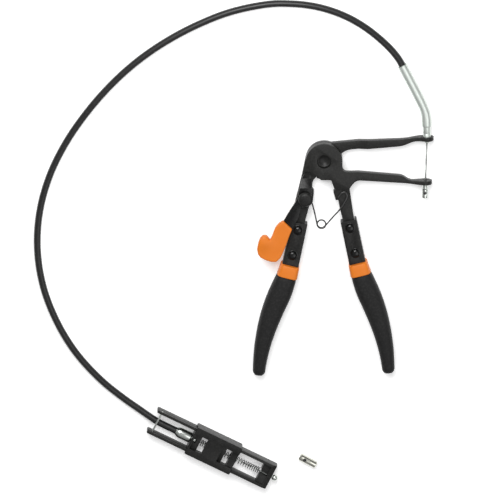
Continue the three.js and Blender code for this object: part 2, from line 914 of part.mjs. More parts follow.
function addPliers() {
  add(group, "rear_arm", rearArm(), blackSteel());
  add(group, "front_arm", frontArm(), blackSteel());
  add(group, "pivot_rivet", pivotRivet(), blackSteel());
  for (const [side, word] of [
    [-1, "left"],
    [1, "right"],
  ]) {
    add(group, `${word}_channel`, handleChannel(side), blackSteel());
    add(group, `${word}_grip`, grip(side), blackRubber());
    add(group, `${word}_collar`, collar(side), orangePlastic());
    rivetPlaces(side).forEach((place, i) => {
      const body = domedRivet(place, RIVET_R, CHANNEL_TOP + 0.15, RIVET_SHANK_R, ARM_Z - 1.6);
      add(group, `${word}_rivet_${i + 1}`, body, blackSteel());
    });
  }
}

function addLatch() {
  add(group, "latch_lever", latchLever(), blackSteel());
  add(group, "latch_cap", latchCap(), orangePlastic());
  add(group, "latch_rivet", latchRivet(), blackSteel());
  add(group, "latch_spring", latchSpring(), springSteel());
  add(group, "hairpin_spring", hairpinSpring(), springSteel());
}

function addCable() {
  add(group, "guide_neck", guideNeck(), aluminium());
  add(group, "cable_sleeve", cableSleeve(), aluminium());
  add(group, "cable_sheath", cableSheath(), sheathPlastic());
  add(group, "jaw_wire", jawWire(), zinc());
  add(group, "wire_stop", wireStop(), zinc());
  add(group, "wire_stop_screw", wireStopScrew(), springSteel());
}

function addHead() {
  const head = new THREE.Group();
  head.position.copy(HEAD_AT);
  head.rotation.z = HEAD_TURN;
  group.add(head);
  add(head, "head_slider", headSlider(), blackSteel());
  add(head, "head_frame", railFrame(), blackSteel());
  add(head, "head_ferrule", headFerrule(), zinc());
  add(head, "head_pin", crossPin(), zinc());
  add(head, "head_spring", headSpring(), springSteel());
  add(head, "head_wire", headWire(), zinc());
  add(head, "wire_ball", wireBall(), zinc());
}

function addSpare() {
  add(group, "spare_stop", spareStop(), zinc());
  add(group, "spare_stop_screw", spareScrew(), springSteel());
}

addPliers();
addLatch();
addCable();
addHead();
addSpare();

export default group;
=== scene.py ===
# %% [markdown]
# # Flexible-cable hose clamp pliers
#
# Squeezing the grips opens the jaws, which pull a wire through a long sheath and close the clamp
# head at its far end. The imported model gives every piece's place, so it is loaded first, as a
# fixed frame. Its box is kept, so that the finished model's growth past it can be measured. Its
# box is kept, because the finished model may not grow out of it.

# %% Load the frame
import math

import bmesh
import bpy
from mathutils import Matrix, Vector


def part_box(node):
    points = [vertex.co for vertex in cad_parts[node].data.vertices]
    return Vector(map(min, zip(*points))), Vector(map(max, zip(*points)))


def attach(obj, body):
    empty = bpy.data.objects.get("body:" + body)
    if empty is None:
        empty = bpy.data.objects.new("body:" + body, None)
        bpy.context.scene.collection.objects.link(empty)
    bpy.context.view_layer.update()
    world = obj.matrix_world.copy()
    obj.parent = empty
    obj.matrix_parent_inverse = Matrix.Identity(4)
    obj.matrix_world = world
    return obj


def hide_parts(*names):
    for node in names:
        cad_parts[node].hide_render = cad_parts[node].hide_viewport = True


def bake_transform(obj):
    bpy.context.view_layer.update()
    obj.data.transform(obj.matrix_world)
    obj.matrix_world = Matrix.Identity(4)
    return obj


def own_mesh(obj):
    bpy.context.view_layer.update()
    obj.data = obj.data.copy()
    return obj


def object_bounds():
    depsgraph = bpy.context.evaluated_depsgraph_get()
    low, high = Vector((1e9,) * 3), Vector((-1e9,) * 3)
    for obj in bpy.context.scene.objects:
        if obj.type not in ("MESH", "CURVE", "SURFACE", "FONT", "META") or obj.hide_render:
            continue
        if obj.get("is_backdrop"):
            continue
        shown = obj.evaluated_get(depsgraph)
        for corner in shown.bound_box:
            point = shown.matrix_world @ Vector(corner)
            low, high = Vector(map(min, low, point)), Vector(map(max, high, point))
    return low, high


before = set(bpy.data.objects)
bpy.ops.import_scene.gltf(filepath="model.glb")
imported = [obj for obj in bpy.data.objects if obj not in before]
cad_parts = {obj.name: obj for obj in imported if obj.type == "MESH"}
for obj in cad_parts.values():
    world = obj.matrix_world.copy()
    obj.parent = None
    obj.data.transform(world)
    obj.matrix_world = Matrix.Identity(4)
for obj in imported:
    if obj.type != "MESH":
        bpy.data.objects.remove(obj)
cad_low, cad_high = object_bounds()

MM = 0.001

# %% [markdown]
# ## Camera
#
# The tool lies on its back and is seen almost from above. A very long lens from 8 m keeps the big
# loop of cable free of perspective. The tilt of 17 degrees shows a little of the far sides.

# %% Camera
TILT = math.radians(17)
LOOK_AT = Vector((-57.9, -76.0, 0)) * MM
CAMERA_DISTANCE = 8.0
VIEW_WIDTH = 392 * MM
SENSOR_WIDTH = 36
camera_data = bpy.data.cameras.new("camera")
camera_data.sensor_width = SENSOR_WIDTH
camera_data.lens = SENSOR_WIDTH * CAMERA_DISTANCE / VIEW_WIDTH
camera_data.clip_end = 20
camera = bpy.data.objects.new("camera", camera_data)
camera.location = LOOK_AT + CAMERA_DISTANCE * Vector((0, math.sin(TILT), math.cos(TILT)))
camera.rotation_euler = (-TILT, 0, 0)
bpy.context.scene.collection.objects.link(camera)
bpy.context.scene.camera = camera

# %% [markdown]
# ## The sheath
#
# The sheath is a steel spiral with a black plastic jacket: stiff, 5.4 mm across and springy. It
# could be simulated, but a stiff cable on a table takes one wide, even curve, so its line is
# drawn through listed points. It leaves the sleeve straight, comes down to the table, runs round
# and climbs again into the clamp head. A Catmull-Rom line through the points keeps every bend
# smooth, and a ring of points is carried along it to make the tube.

# %% Where the sheath runs
SHEATH_DIAMETER = 5.4 * MM
SHEATH_LINE = [
    (60.7, 76, 4.9), (58.4, 80.2, 4.6), (52.6, 87.8, 4.1), (43.6, 96.6, 3.4),
    (32.4, 105.6, 2.9), (19.1, 113.7, 2.75), (4.2, 119.9, 2.75), (-11.2, 123.7, 2.75),
    (-26.9, 125.2, 2.75), (-42.6, 124.9, 2.75), (-72.8, 118.6, 2.75), (-100.5, 107.3, 2.75),
    (-125.9, 93, 2.75), (-148.4, 76.4, 2.75), (-168.6, 57, 2.75), (-186.5, 35.4, 2.75),
    (-202.2, 11.6, 2.75), (-214.7, -14.8, 2.75), (-222.5, -43.7, 2.75), (-224.5, -74, 2.75),
    (-220.3, -104.3, 2.75), (-210.1, -132.9, 2.75), (-195, -159.2, 2.75), (-175.5, -181.7, 2.75),
    (-159.3, -195.6, 2.9), (-145, -206, 3.7), (-131, -215.4, 5.2), (-116.31, -222.9, 6),
]

# %% [markdown]
# Three sets of helpers follow: smooth lines, tubes round a line, and finished pieces. They are
# written here, because nearly every other piece uses them too.

# %% Lines
def metres(point):
    return Vector(point) * MM


def smooth_line(points, steps):
    """A centripetal Catmull-Rom line through points, with the given steps between each two."""
    padded = [points[0] * 2 - points[1], *points, points[-1] * 2 - points[-2]]
    line = []
    for p0, p1, p2, p3 in zip(padded, padded[1:], padded[2:], padded[3:]):
        t1 = math.sqrt((p1 - p0).length)
        t2 = t1 + math.sqrt((p2 - p1).length)
        t3 = t2 + math.sqrt((p3 - p2).length)
        for k in range(steps):
            t = t1 + (t2 - t1) * k / steps
            a1 = p0.lerp(p1, t / t1)
            a2 = p1.lerp(p2, (t - t1) / (t2 - t1))
            a3 = p2.lerp(p3, (t - t2) / (t3 - t2))
            b1 = a1.lerp(a2, t / t2)
            b2 = a2.lerp(a3, (t - t1) / (t3 - t1))
            line.append(b1.lerp(b2, (t - t1) / (t2 - t1)))
    return line + [points[-1].copy()]


def square_to(direction):
    """Two unit vectors square to a direction and to each other."""
    helper = Vector((0, 0, 1)) if abs(direction.normalized().z) < 0.9 else Vector((1, 0, 0))
    side = direction.cross(helper).normalized()
    return side, side.cross(direction.normalized()).normalized()


# %% Tubes
def swept_rings(line, radii, sides):
    """Rings square to a line, carried along it without twisting."""
    tangents = [
        (line[min(i + 1, len(line) - 1)] - line[max(i - 1, 0)]).normalized()
        for i in range(len(line))
    ]
    side, _ = square_to(tangents[0])
    rings = []
    for point, tangent, radius in zip(line, tangents, radii):
        side = (side - tangent * side.dot(tangent)).normalized()
        up = tangent.cross(side)
        angles = (2 * math.pi * i / sides for i in range(sides))
        rings.append(
            [point + (side * math.cos(a) + up * math.sin(a)) * radius for a in angles]
        )
    return rings


def skin(target, rings):
    """Quads between rings of equally many points, with flat ends."""
    made = [[target.verts.new(point) for point in ring] for ring in rings]
    count = len(made[0])
    for near, far in zip(made, made[1:]):
        for i in range(count):
            j = (i + 1) % count
            target.faces.new((near[i], near[j], far[j], far[i]))
    target.faces.new(made[0][::-1])
    target.faces.new(made[-1])


# %% Pieces
SHARP = math.radians(35)


def piece(name, mesh_source, body, nodes=()):
    """A mesh from a bmesh, shaded, on its body, in place of its CAD nodes."""
    bmesh.ops.recalc_face_normals(mesh_source, faces=mesh_source.faces)
    for face in mesh_source.faces:
        face.smooth = True
    for edge in mesh_source.edges:
        edge.smooth = len(edge.link_faces) != 2 or edge.calc_face_angle(0) < SHARP
    mesh = bpy.data.meshes.new(name)
    mesh_source.to_mesh(mesh)
    mesh_source.free()
    made = bpy.data.objects.new(name, mesh)
    bpy.context.scene.collection.objects.link(made)
    if body:
        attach(made, body)
    if nodes:
        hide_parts(*nodes)
    return made


# %% The sheath itself
SHEATH_STEPS, SHEATH_SIDES = 8, 24
sheath_line = smooth_line([metres(place) for place in SHEATH_LINE], SHEATH_STEPS)
sheath_shape = bmesh.new()
sheath_radii = [SHEATH_DIAMETER / 2] * len(sheath_line)
skin(sheath_shape, swept_rings(sheath_line, sheath_radii, SHEATH_SIDES))
sheath = piece("sheath", sheath_shape, "rear", ["cable_sheath"])

# %% [markdown]
# ## Effects that the finishes share
#
# A finish is a shader in its material, and what varies over the surface comes from small node
# groups that are built once. Each group only puts out masks or heights, so the same group can
# serve steel, rubber and plastic with other numbers.

# %% A small kit for node groups
def node_group(name, inputs, outputs):
    group = bpy.data.node_groups.new(name, "ShaderNodeTree")
    for label, kind, value in inputs:
        socket = group.interface.new_socket(label, in_out="INPUT", socket_type=kind)
        if value is not None:
            socket.default_value = value
    for label, kind in outputs:
        group.interface.new_socket(label, in_out="OUTPUT", socket_type=kind)
    return group, group.nodes.new("NodeGroupInput"), group.nodes.new("NodeGroupOutput")


def math_node(tree, operation, first, second=None, clamp=False):
    node = tree.nodes.new("ShaderNodeMath")
    node.operation = operation
    node.use_clamp = clamp
    for socket, value in zip(node.inputs, (first, second)):
        if isinstance(value, bpy.types.NodeSocket):
            tree.links.new(value, socket)
        elif value is not None:
            socket.default_value = value
    return node.outputs[0]


# %% [markdown]
# ### Grain
#
# Cast, oxidised and moulded surfaces are never quite even. Two sizes of noise, one for the fine
# tooth of the surface and one for slow cloudiness, are given in the piece's own coordinates, so
# the grain stays put when the piece moves.

# %% Grain group
FLOAT = "NodeSocketFloat"
grain, grain_in, grain_out = node_group(
    "grain",
    [("Fine Scale", FLOAT, 2500.0), ("Cloud Scale", FLOAT, 90.0)],
    [("Fine", FLOAT), ("Cloud", FLOAT)],
)
grain_place = grain.nodes.new("ShaderNodeTexCoord")
for label, detail in (("Fine", 3), ("Cloud", 5)):
    noise = grain.nodes.new("ShaderNodeTexNoise")
    noise.inputs["Detail"].default_value = detail
    grain.links.new(grain_place.outputs["Object"], noise.inputs["Vector"])
    grain.links.new(grain_in.outputs[label + " Scale"], noise.inputs["Scale"])
    grain.links.new(noise.outputs["Fac"], grain_out.inputs[label])

# %% [markdown]
# ### Edge wear
#
# Handling rubs the dark finish off the outermost edges first. The Bevel node returns the normal
# of a slightly rounded surface. Where it differs from the true normal there is an edge, and noise
# breaks that line up so that the wear looks rubbed and not drawn.

# %% Edge wear group
wear, wear_in, wear_out = node_group(
    "edge_wear",
    [("Radius", FLOAT, 0.0004), ("Amount", FLOAT, 1.0), ("Scale", FLOAT, 400.0)],
    [("Mask", FLOAT)],
)
wear_bevel = wear.nodes.new("ShaderNodeBevel")
wear_bevel.samples = 4
wear.links.new(wear_in.outputs["Radius"], wear_bevel.inputs["Radius"])
wear_true = wear.nodes.new("ShaderNodeNewGeometry")
wear_dot = wear.nodes.new("ShaderNodeVectorMath")
wear_dot.operation = "DOT_PRODUCT"
wear.links.new(wear_bevel.outputs["Normal"], wear_dot.inputs[0])
wear.links.new(wear_true.outputs["Normal"], wear_dot.inputs[1])
wear_edge = math_node(wear, "SUBTRACT", 1.0, wear_dot.outputs["Value"])
wear_noise = wear.nodes.new("ShaderNodeTexNoise")
wear_noise.inputs["Detail"].default_value = 4
wear_place = wear.nodes.new("ShaderNodeTexCoord")
wear.links.new(wear_place.outputs["Object"], wear_noise.inputs["Vector"])
wear.links.new(wear_in.outputs["Scale"], wear_noise.inputs["Scale"])
wear_broken = math_node(wear, "MULTIPLY", wear_edge, wear_noise.outputs["Fac"])
wear_scaled = math_node(wear, "MULTIPLY", wear_broken, wear_in.outputs["Amount"], clamp=True)
wear.links.new(wear_scaled, wear_out.inputs["Mask"])

# %% [markdown]
# ### Dust
#
# A little pale dust settles on faces that look up. It is a mask from the normal's height, broken
# by noise, and it mainly raises the roughness.

# %% Dust group
dust, dust_in, dust_out = node_group(
    "dust",
    [("Amount", FLOAT, 0.1), ("Scale", FLOAT, 700.0)],
    [("Mask", FLOAT)],
)
dust_true = dust.nodes.new("ShaderNodeNewGeometry")
dust_split = dust.nodes.new("ShaderNodeSeparateXYZ")
dust.links.new(dust_true.outputs["Normal"], dust_split.inputs[0])
dust_noise = dust.nodes.new("ShaderNodeTexNoise")
dust_noise.inputs["Detail"].default_value = 6
dust_place = dust.nodes.new("ShaderNodeTexCoord")
dust.links.new(dust_place.outputs["Object"], dust_noise.inputs["Vector"])
dust.links.new(dust_in.outputs["Scale"], dust_noise.inputs["Scale"])
dust_spots = math_node(dust, "SUBTRACT", dust_noise.outputs["Fac"], 0.45, clamp=True)
dust_up = math_node(dust, "MULTIPLY", dust_spots, dust_split.outputs["Z"], clamp=True)
dust_scaled = math_node(dust, "MULTIPLY", dust_up, dust_in.outputs["Amount"], clamp=True)
dust.links.new(dust_scaled, dust_out.inputs["Mask"])
print("node groups:", [group.name for group in (grain, wear, dust)])

# %% [markdown]
# ## Finishes
#
# One function wires the groups into a Principled shader, because every finish on this tool is
# "a base, a little cloudiness, worn edges, dust and a fine tooth". The numbers differ:
# black oxide on the forgings, bright zinc on the cable's fittings, soft vinyl on the handles.

# %% Groups in a material
def placed(tree, group, **values):
    node = tree.nodes.new("ShaderNodeGroup")
    node.node_tree = group
    for label, value in values.items():
        node.inputs[label.replace("_", " ")].default_value = value
    return node


def blend_colour(tree, mask, low, high):
    mix = tree.nodes.new("ShaderNodeMix")
    mix.data_type = "RGBA"
    tree.links.new(mask, mix.inputs["Factor"])
    for socket, value in ((mix.inputs[6], low), (mix.inputs[7], high)):
        if isinstance(value, bpy.types.NodeSocket):
            tree.links.new(value, socket)
        else:
            socket.default_value = (*value, 1)
    return mix.outputs[2]


# %% Finish builder
DUST_COLOUR = (0.45, 0.44, 0.42)
TOOTH_STRENGTH = 0.6


def finish(
    name, colour, clouded, worn, metallic, roughness, rough_change, tooth,
    fine=3200.0, cloud=90.0, wear_amount=1.0, dusty=0.08, specular=0.5,
):
    """A Principled shader. The tooth is the height of its fine bumps in millimetres."""
    material = bpy.data.materials.new(name)
    material.use_nodes = True
    tree = material.node_tree
    shader = tree.nodes["Principled BSDF"]
    shader.inputs["Metallic"].default_value = metallic
    shader.inputs["Specular IOR Level"].default_value = specular
    surface = placed(tree, grain, Fine_Scale=fine, Cloud_Scale=cloud)
    edges = placed(tree, wear, Amount=wear_amount)
    settled = placed(tree, dust, Amount=dusty)
    base = blend_colour(tree, surface.outputs["Cloud"], colour, clouded)
    rubbed = blend_colour(tree, edges.outputs["Mask"], base, worn)
    dusted = blend_colour(tree, settled.outputs["Mask"], rubbed, DUST_COLOUR)
    tree.links.new(dusted, shader.inputs["Base Color"])
    change = math_node(tree, "SUBTRACT", surface.outputs["Cloud"], 0.5)
    change = math_node(tree, "MULTIPLY", change, rough_change)
    rough = math_node(tree, "ADD", change, roughness)
    rough = math_node(tree, "ADD", rough, settled.outputs["Mask"], clamp=True)
    tree.links.new(rough, shader.inputs["Roughness"])
    bump = tree.nodes.new("ShaderNodeBump")
    bump.inputs["Distance"].default_value = tooth * MM
    bump.inputs["Strength"].default_value = TOOTH_STRENGTH
    tree.links.new(surface.outputs["Fine"], bump.inputs["Height"])
    tree.links.new(bump.outputs["Normal"], shader.inputs["Normal"])
    return material


# %% The tool's finishes
forged_black = finish(
    "forged_black", (0.013, 0.013, 0.0125), (0.019, 0.019, 0.018), (0.13, 0.13, 0.125),
    metallic=0.2, roughness=0.42, rough_change=0.12, tooth=0.02, wear_amount=1.3, specular=0.27,
)
pressed_black = finish(
    "pressed_black", (0.0125, 0.0125, 0.012), (0.0165, 0.0165, 0.016), (0.12, 0.12, 0.12),
    metallic=0.2, roughness=0.4, rough_change=0.1, tooth=0.015, specular=0.22,
)
# Painted shade: the pawl's black is darker than the arms' forged black, standing in for the shade
# that falls on the tilted lever. Its higher gloss is the steel's own.
pawl_black_painted_shade = finish(
    "pawl_black_painted_shade", (0.006, 0.006, 0.006), (0.01, 0.01, 0.01), (0.12, 0.12, 0.12),
    metallic=0.5, roughness=0.27, rough_change=0.1, tooth=0.01, wear_amount=1.2, specular=0.4,
)
rivet_black = finish(
    "rivet_black", (0.02, 0.02, 0.02), (0.03, 0.03, 0.03), (0.1, 0.1, 0.1),
    metallic=0.9, roughness=0.2, rough_change=0.12, tooth=0.006, wear_amount=0.6, dusty=0.05,
)
bright_zinc = finish(
    "bright_zinc", (0.66, 0.69, 0.66), (0.52, 0.55, 0.52), (0.85, 0.86, 0.84),
    metallic=1.0, roughness=0.22, rough_change=0.16, tooth=0.006, cloud=400, dusty=0.05,
)
bright_nickel = finish(
    "bright_nickel", (0.66, 0.66, 0.59), (0.54, 0.54, 0.48), (0.85, 0.85, 0.8),
    metallic=1.0, roughness=0.14, rough_change=0.1, tooth=0.004, cloud=500, dusty=0.03,
)
satin_aluminium = finish(
    "satin_aluminium", (0.74, 0.79, 0.74), (0.66, 0.71, 0.67), (0.85, 0.87, 0.85),
    metallic=0.8, roughness=0.42, rough_change=0.14, tooth=0.01, cloud=180, dusty=0.05,
)
spring_wire = finish(
    "spring_wire", (0.06, 0.06, 0.06), (0.1, 0.1, 0.1), (0.25, 0.25, 0.25),
    metallic=0.9, roughness=0.33, rough_change=0.15, tooth=0.006, cloud=300, dusty=0.05,
)
bare_strands = finish(
    "bare_strands", (0.5, 0.52, 0.5), (0.38, 0.4, 0.38), (0.6, 0.6, 0.6),
    metallic=0.9, roughness=0.34, rough_change=0.1, tooth=0.003, cloud=300, dusty=0.03,
)
grip_vinyl = finish(
    "grip_vinyl", (0.0085, 0.0085, 0.009), (0.0115, 0.0115, 0.0115), (0.028, 0.028, 0.028),
    metallic=0.0, roughness=0.6, rough_change=0.1, tooth=0.06, fine=1800, wear_amount=0.4,
    specular=0.22,
)
orange_vinyl = finish(
    "orange_vinyl", (0.66, 0.168, 0.011), (0.73, 0.195, 0.016), (0.82, 0.29, 0.05),
    metallic=0.0, roughness=0.46, rough_change=0.1, tooth=0.04, fine=1800, wear_amount=0.4,
    specular=0.3, dusty=0.04,
)
sheath_black = finish(
    "sheath_black", (0.008, 0.008, 0.0085), (0.012, 0.012, 0.012), (0.025, 0.025, 0.025),
    metallic=0.0, roughness=0.36, rough_change=0.12, tooth=0.01, fine=1500, wear_amount=0.2,
    specular=0.4,
)
sheath.data.materials.append(sheath_black)
all_finishes = (
    forged_black, pressed_black, pawl_black_painted_shade, rivet_black, bright_zinc, bright_nickel,
    satin_aluminium, spring_wire, bare_strands, grip_vinyl, orange_vinyl, sheath_black,
)
print("finishes:", len(all_finishes))

# %% [markdown]
# ## Turning
#
# Round pieces are turned from a profile, as on a lathe: each pair of numbers is a radius and a
# distance along the axis, in millimetres. A profile never quite reaches the axis, where its
# faces would shrink to nothing.

# %% Turned rings
UP = Vector((0, 0, 1))
NEAR_AXIS = 0.05


def turned_rings(profile, start, direction, sides):
    along = direction.normalized()
    side, up = square_to(along)
    return [
        [
            start + along * (distance * MM)
            + (side * math.cos(a) + up * math.sin(a)) * (radius * MM)
            for a in (2 * math.pi * i / sides for i in range(sides))
        ]
        for radius, distance in profile
    ]


def dressed(name, mesh_source, material, body, nodes=()):
    """A piece with its finish."""
    made = piece(name, mesh_source, body, nodes)
    made.data.materials.append(material)
    return made


# %% [markdown]
# ## Forgings and pressings
#
# The arms, channels, pawl, slider and rails already have the right shape in the frame, but real
# forged and pressed steel has no knife edges. Each one is copied, its flat faces are joined
# again, and every hard edge is broken with a small bevel, which catches the light as on the real
# tool. Beveling the copy and not the node keeps the frame as it was packed.

# %% Copies with broken edges
SAME_POINT = 0.004 * MM
FLAT = math.radians(1.5)
SHORTEST_EDGE = 0.2 * MM


def broken_edges(node, material, body, width):
    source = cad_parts[node].data
    copy = bmesh.new()
    copy.from_mesh(source)
    bmesh.ops.remove_doubles(copy, verts=copy.verts, dist=SAME_POINT)
    bmesh.ops.dissolve_limit(
        copy, angle_limit=FLAT, verts=copy.verts, edges=copy.edges,
        use_dissolve_boundaries=False,
    )
    hard = [
        edge for edge in copy.edges
        if len(edge.link_faces) == 2 and edge.calc_face_angle(0) > SHARP
        and edge.calc_length() > SHORTEST_EDGE
    ]
    bmesh.ops.bevel(
        copy, geom=hard, offset=width * MM, segments=2, profile=0.5, affect="EDGES",
        clamp_overlap=True, harden_normals=False,
    )
    made = dressed(node + "_finished", copy, material, body, [node])
    print(node, "has", len(made.data.polygons), "faces")


# %% Black steel
for node, body, material, width in (
    ("rear_arm", "rear", forged_black, 0.35),
    ("front_arm", "front", forged_black, 0.35),
    ("latch_lever", "latch", pawl_black_painted_shade, 0.25),
    ("head_frame", "frame", forged_black, 0.3),
    ("left_channel", "rear", pressed_black, 0.45),
    ("right_channel", "front", pressed_black, 0.45),
    ("head_slider", "rear", pressed_black, 0.25),
):
    broken_edges(node, material, body, width)

# %% Small turned and cut metal
SMALL_BEVEL = 0.12
for node, body, material, slot in (
    ("wire_stop", "wire", bright_zinc, "zinc"),
    ("spare_stop", "spare", bright_nickel, "zinc"),
    ("head_pin", "frame", bare_strands, "zinc"),
    ("wire_stop_screw", "wire", spring_wire, "spring_steel"),
    ("spare_stop_screw", "spare", spring_wire, "spring_steel"),
):
    broken_edges(node, material, body, SMALL_BEVEL)

# %% [markdown]
# ## Rivets and the pivot
#
# Every rivet is a dome with a thin skirt where the press spread it against the steel. They are
# turned from one profile, so they stay round close up. The pivot is peened flat into the round
# recess of the boss, with a shallow dish in its middle.

# %% Domed rivets
def middle_of(node):
    low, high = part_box(node)
    return (low + high) / 2, low, high


DOME_STEPS, RIVET_SIDES, TAIL_SIDES = 10, 48, 32
DOME_FULLNESS = 0.8
SKIRT_REACH = 0.5
TAIL_SHARE = 0.7


def dome_profile(head, height, skirt):
    """A spread skirt and a dome. A fullness below one makes the dome fuller than an ellipse."""
    arc = [math.pi / 2 * i / DOME_STEPS for i in range(DOME_STEPS)]
    reach = head + SKIRT_REACH
    edge = [(reach, 0), (reach, skirt * 0.6), (head + 0.2, skirt)]
    dome = [(head * math.cos(a) ** DOME_FULLNESS, skirt + height * math.sin(a)) for a in arc]
    return [*edge, *dome, (NEAR_AXIS, skirt + height)]


def domed_rivet(node, body, head, height, skirt, material=rivet_black):
    middle, low, high = middle_of(node)
    start = Vector((middle.x, middle.y, high.z - (height + skirt) * MM))
    shape = bmesh.new()
    skin(shape, turned_rings(dome_profile(head, height, skirt), start, UP, RIVET_SIDES))
    tail_radius = (high.x - low.x) / 2 / MM * TAIL_SHARE
    tail = [(tail_radius * 0.8, 0), (tail_radius, 0.3), (tail_radius, (start.z - low.z) / MM)]
    bottom = Vector((middle.x, middle.y, low.z))
    skin(shape, turned_rings(tail, bottom, UP, TAIL_SIDES))
    return dressed(node + "_turned", shape, material, body, [node])


rivets = [
    domed_rivet(f"{side}_rivet_{number}", body, head=3.5, height=1.9, skirt=0.3)
    for side, body in (("left", "rear"), ("right", "front"))
    for number in (1, 2)
]
rivets.append(
    domed_rivet("latch_rivet", "rear", head=5.3, height=1.5, skirt=1.1, material=pressed_black)
)
print("rivets:", len(rivets))

# %% Pivot
pivot_middle, pivot_low, pivot_high = middle_of("pivot_rivet")
PIVOT_TOP = (pivot_high.z - pivot_low.z) / MM
PIVOT_SIDES = 64
pivot_shape = bmesh.new()
pivot_profile = [
    (NEAR_AXIS, 0), (7.4, 0), (7.8, 0.15), (8, 0.5), (8, 1.7), (4, 1.7), (4, PIVOT_TOP - 0.8),
    (5.0, PIVOT_TOP - 0.75), (5.35, PIVOT_TOP - 0.5), (5.25, PIVOT_TOP - 0.1),
    (4.9, PIVOT_TOP), (4.5, PIVOT_TOP - 0.1), (3.8, PIVOT_TOP - 0.5), (3.0, PIVOT_TOP - 0.95),
    (2.0, PIVOT_TOP - 1.35), (1.0, PIVOT_TOP - 1.55),
    (NEAR_AXIS, PIVOT_TOP - 1.6),
]
pivot_start = Vector((pivot_middle.x, pivot_middle.y, pivot_low.z))
skin(pivot_shape, turned_rings(pivot_profile, pivot_start, UP, PIVOT_SIDES))
dressed("pivot_turned", pivot_shape, pressed_black, "rear", ["pivot_rivet"])
print("pivot:", round(PIVOT_TOP, 1), "mm tall")

# %% [markdown]
# ## Springs
#
# All three springs are wire, swept with a round section. The hairpin spring is hooked on both
# arms. On the tool, squeezing swings its legs and carries its coil half as far as the front arm,
# without squashing it. One blend over the whole wire would flatten the coil, so the wire is swept
# as a rear leg, a coil and a front leg that meet end to end. Each part is listed with a blend
# start and end: a leg's runs on past it, as far again, so that it would be half done where the
# coil begins, and the coil's runs a metre up and down, so that the whole coil would be half done.
# These blends are not used further, and the three parts are baked in place on no body. The small
# latch spring stays on the rear arm. The long compression spring is in the head and closes up as
# the rails come in; it is swept once, on the rear arm.

# %% Wire along an arc
def arc_points(x, y, radius, start, end, low, high, steps):
    points = []
    for i in range(steps + 1):
        share = i / steps
        a = math.radians(start + (end - start) * share)
        z = low + (high - low) * share
        points.append(metres((x + radius * math.cos(a), y + radius * math.sin(a), z)))
    return points


def sweep_piece(name, line, radius, material, body, nodes, sides=10):
    shape = bmesh.new()
    skin(shape, swept_rings(line, [radius * MM] * len(line), sides))
    return dressed(name, shape, material, body, nodes)


# %% Hairpin spring
HAIRPIN_RADIUS, HAIRPIN_STEPS, HAIRPIN_SIDES = 0.6, 5, 12
LATCH_X, LATCH_Y = -14.5, -29.6
rear_leg_points = [
    *arc_points(LATCH_X, LATCH_Y, 4.45, 60, 340, 16.1, 16.1, 12), metres((-7.6, -40, 15)),
]
coil_points = arc_points(-2, -50.7, 3.3, 195, 663, 14.4, 12.2, 24)
front_leg_points = [
    metres(place) for place in (
        (8, -44.2, 11.7), (12.1, -39.7, 11.45), (16.4, -32.6, 11.45), (17.9, -28.6, 11.45),
        (16.8, -25.4, 11.45), (14.2, -25.6, 11.45), (11, -29.4, 11.45),
    )
]
hairpin_line = smooth_line([*rear_leg_points, *coil_points, *front_leg_points], HAIRPIN_STEPS)
coil_first = len(rear_leg_points) * HAIRPIN_STEPS
coil_last = coil_first + (len(coil_points) - 1) * HAIRPIN_STEPS
coil_in, coil_out = hairpin_line[coil_first], hairpin_line[coil_last]

# %% Hairpin spring in three parts
REAR_HOOK, FRONT_HOOK = metres((-10.3, -31.1, 15)), metres((16.4, -32.6, 11.45))
FAR_UP = Vector((0, 0, 0.5))
coil_middle = (coil_in + coil_out) / 2
hairpin_parts = (
    ("rear_leg", hairpin_line[:coil_first + 1], REAR_HOOK, REAR_HOOK + (coil_in - REAR_HOOK) * 2),
    ("coil", hairpin_line[coil_first:coil_last + 1], coil_middle + FAR_UP, coil_middle - FAR_UP),
    ("front_leg", hairpin_line[coil_last:], FRONT_HOOK + (coil_out - FRONT_HOOK) * 2, FRONT_HOOK),
)
for part, line, blend_start, blend_end in hairpin_parts:
    spring_part = sweep_piece(
        "hairpin_" + part, line, HAIRPIN_RADIUS, spring_wire, None,
        ["hairpin_spring"], HAIRPIN_SIDES,
    )
    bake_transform(spring_part)
print("hairpin:", len(hairpin_line), "rings in", len(hairpin_parts), "parts")

# %% Latch spring
LATCH_SPRING_TURNS, LATCH_SPRING_START, LATCH_SPRING_RADIUS = 1.9, 40, 0.35
latch_spring_end = LATCH_SPRING_START + 360 * LATCH_SPRING_TURNS
latch_spring_line = arc_points(
    LATCH_X, LATCH_Y, 4.4, LATCH_SPRING_START, latch_spring_end, 11.2, 12.2, 90
)
sweep_piece(
    "latch_coil", latch_spring_line, LATCH_SPRING_RADIUS, spring_wire, "rear",
    ["latch_spring"],
)

# %% [markdown]
# The head is turned on the table, so its pieces are placed along its own axis. `head_point`
# gives a place from its distance along the head, across it and above the table.

# %% Places along the head
HEAD_START = (-134.8, -213.6)
HEAD_AXIS_Z = 6
HEAD_TURN = math.radians(-26.7)
HEAD_ALONG = Vector((math.cos(HEAD_TURN), math.sin(HEAD_TURN), 0))
HEAD_ACROSS = Vector((-math.sin(HEAD_TURN), math.cos(HEAD_TURN), 0))


def head_point(along, across, up):
    start = Vector((*HEAD_START, up)) * MM
    return start + (HEAD_ALONG * along + HEAD_ACROSS * across) * MM


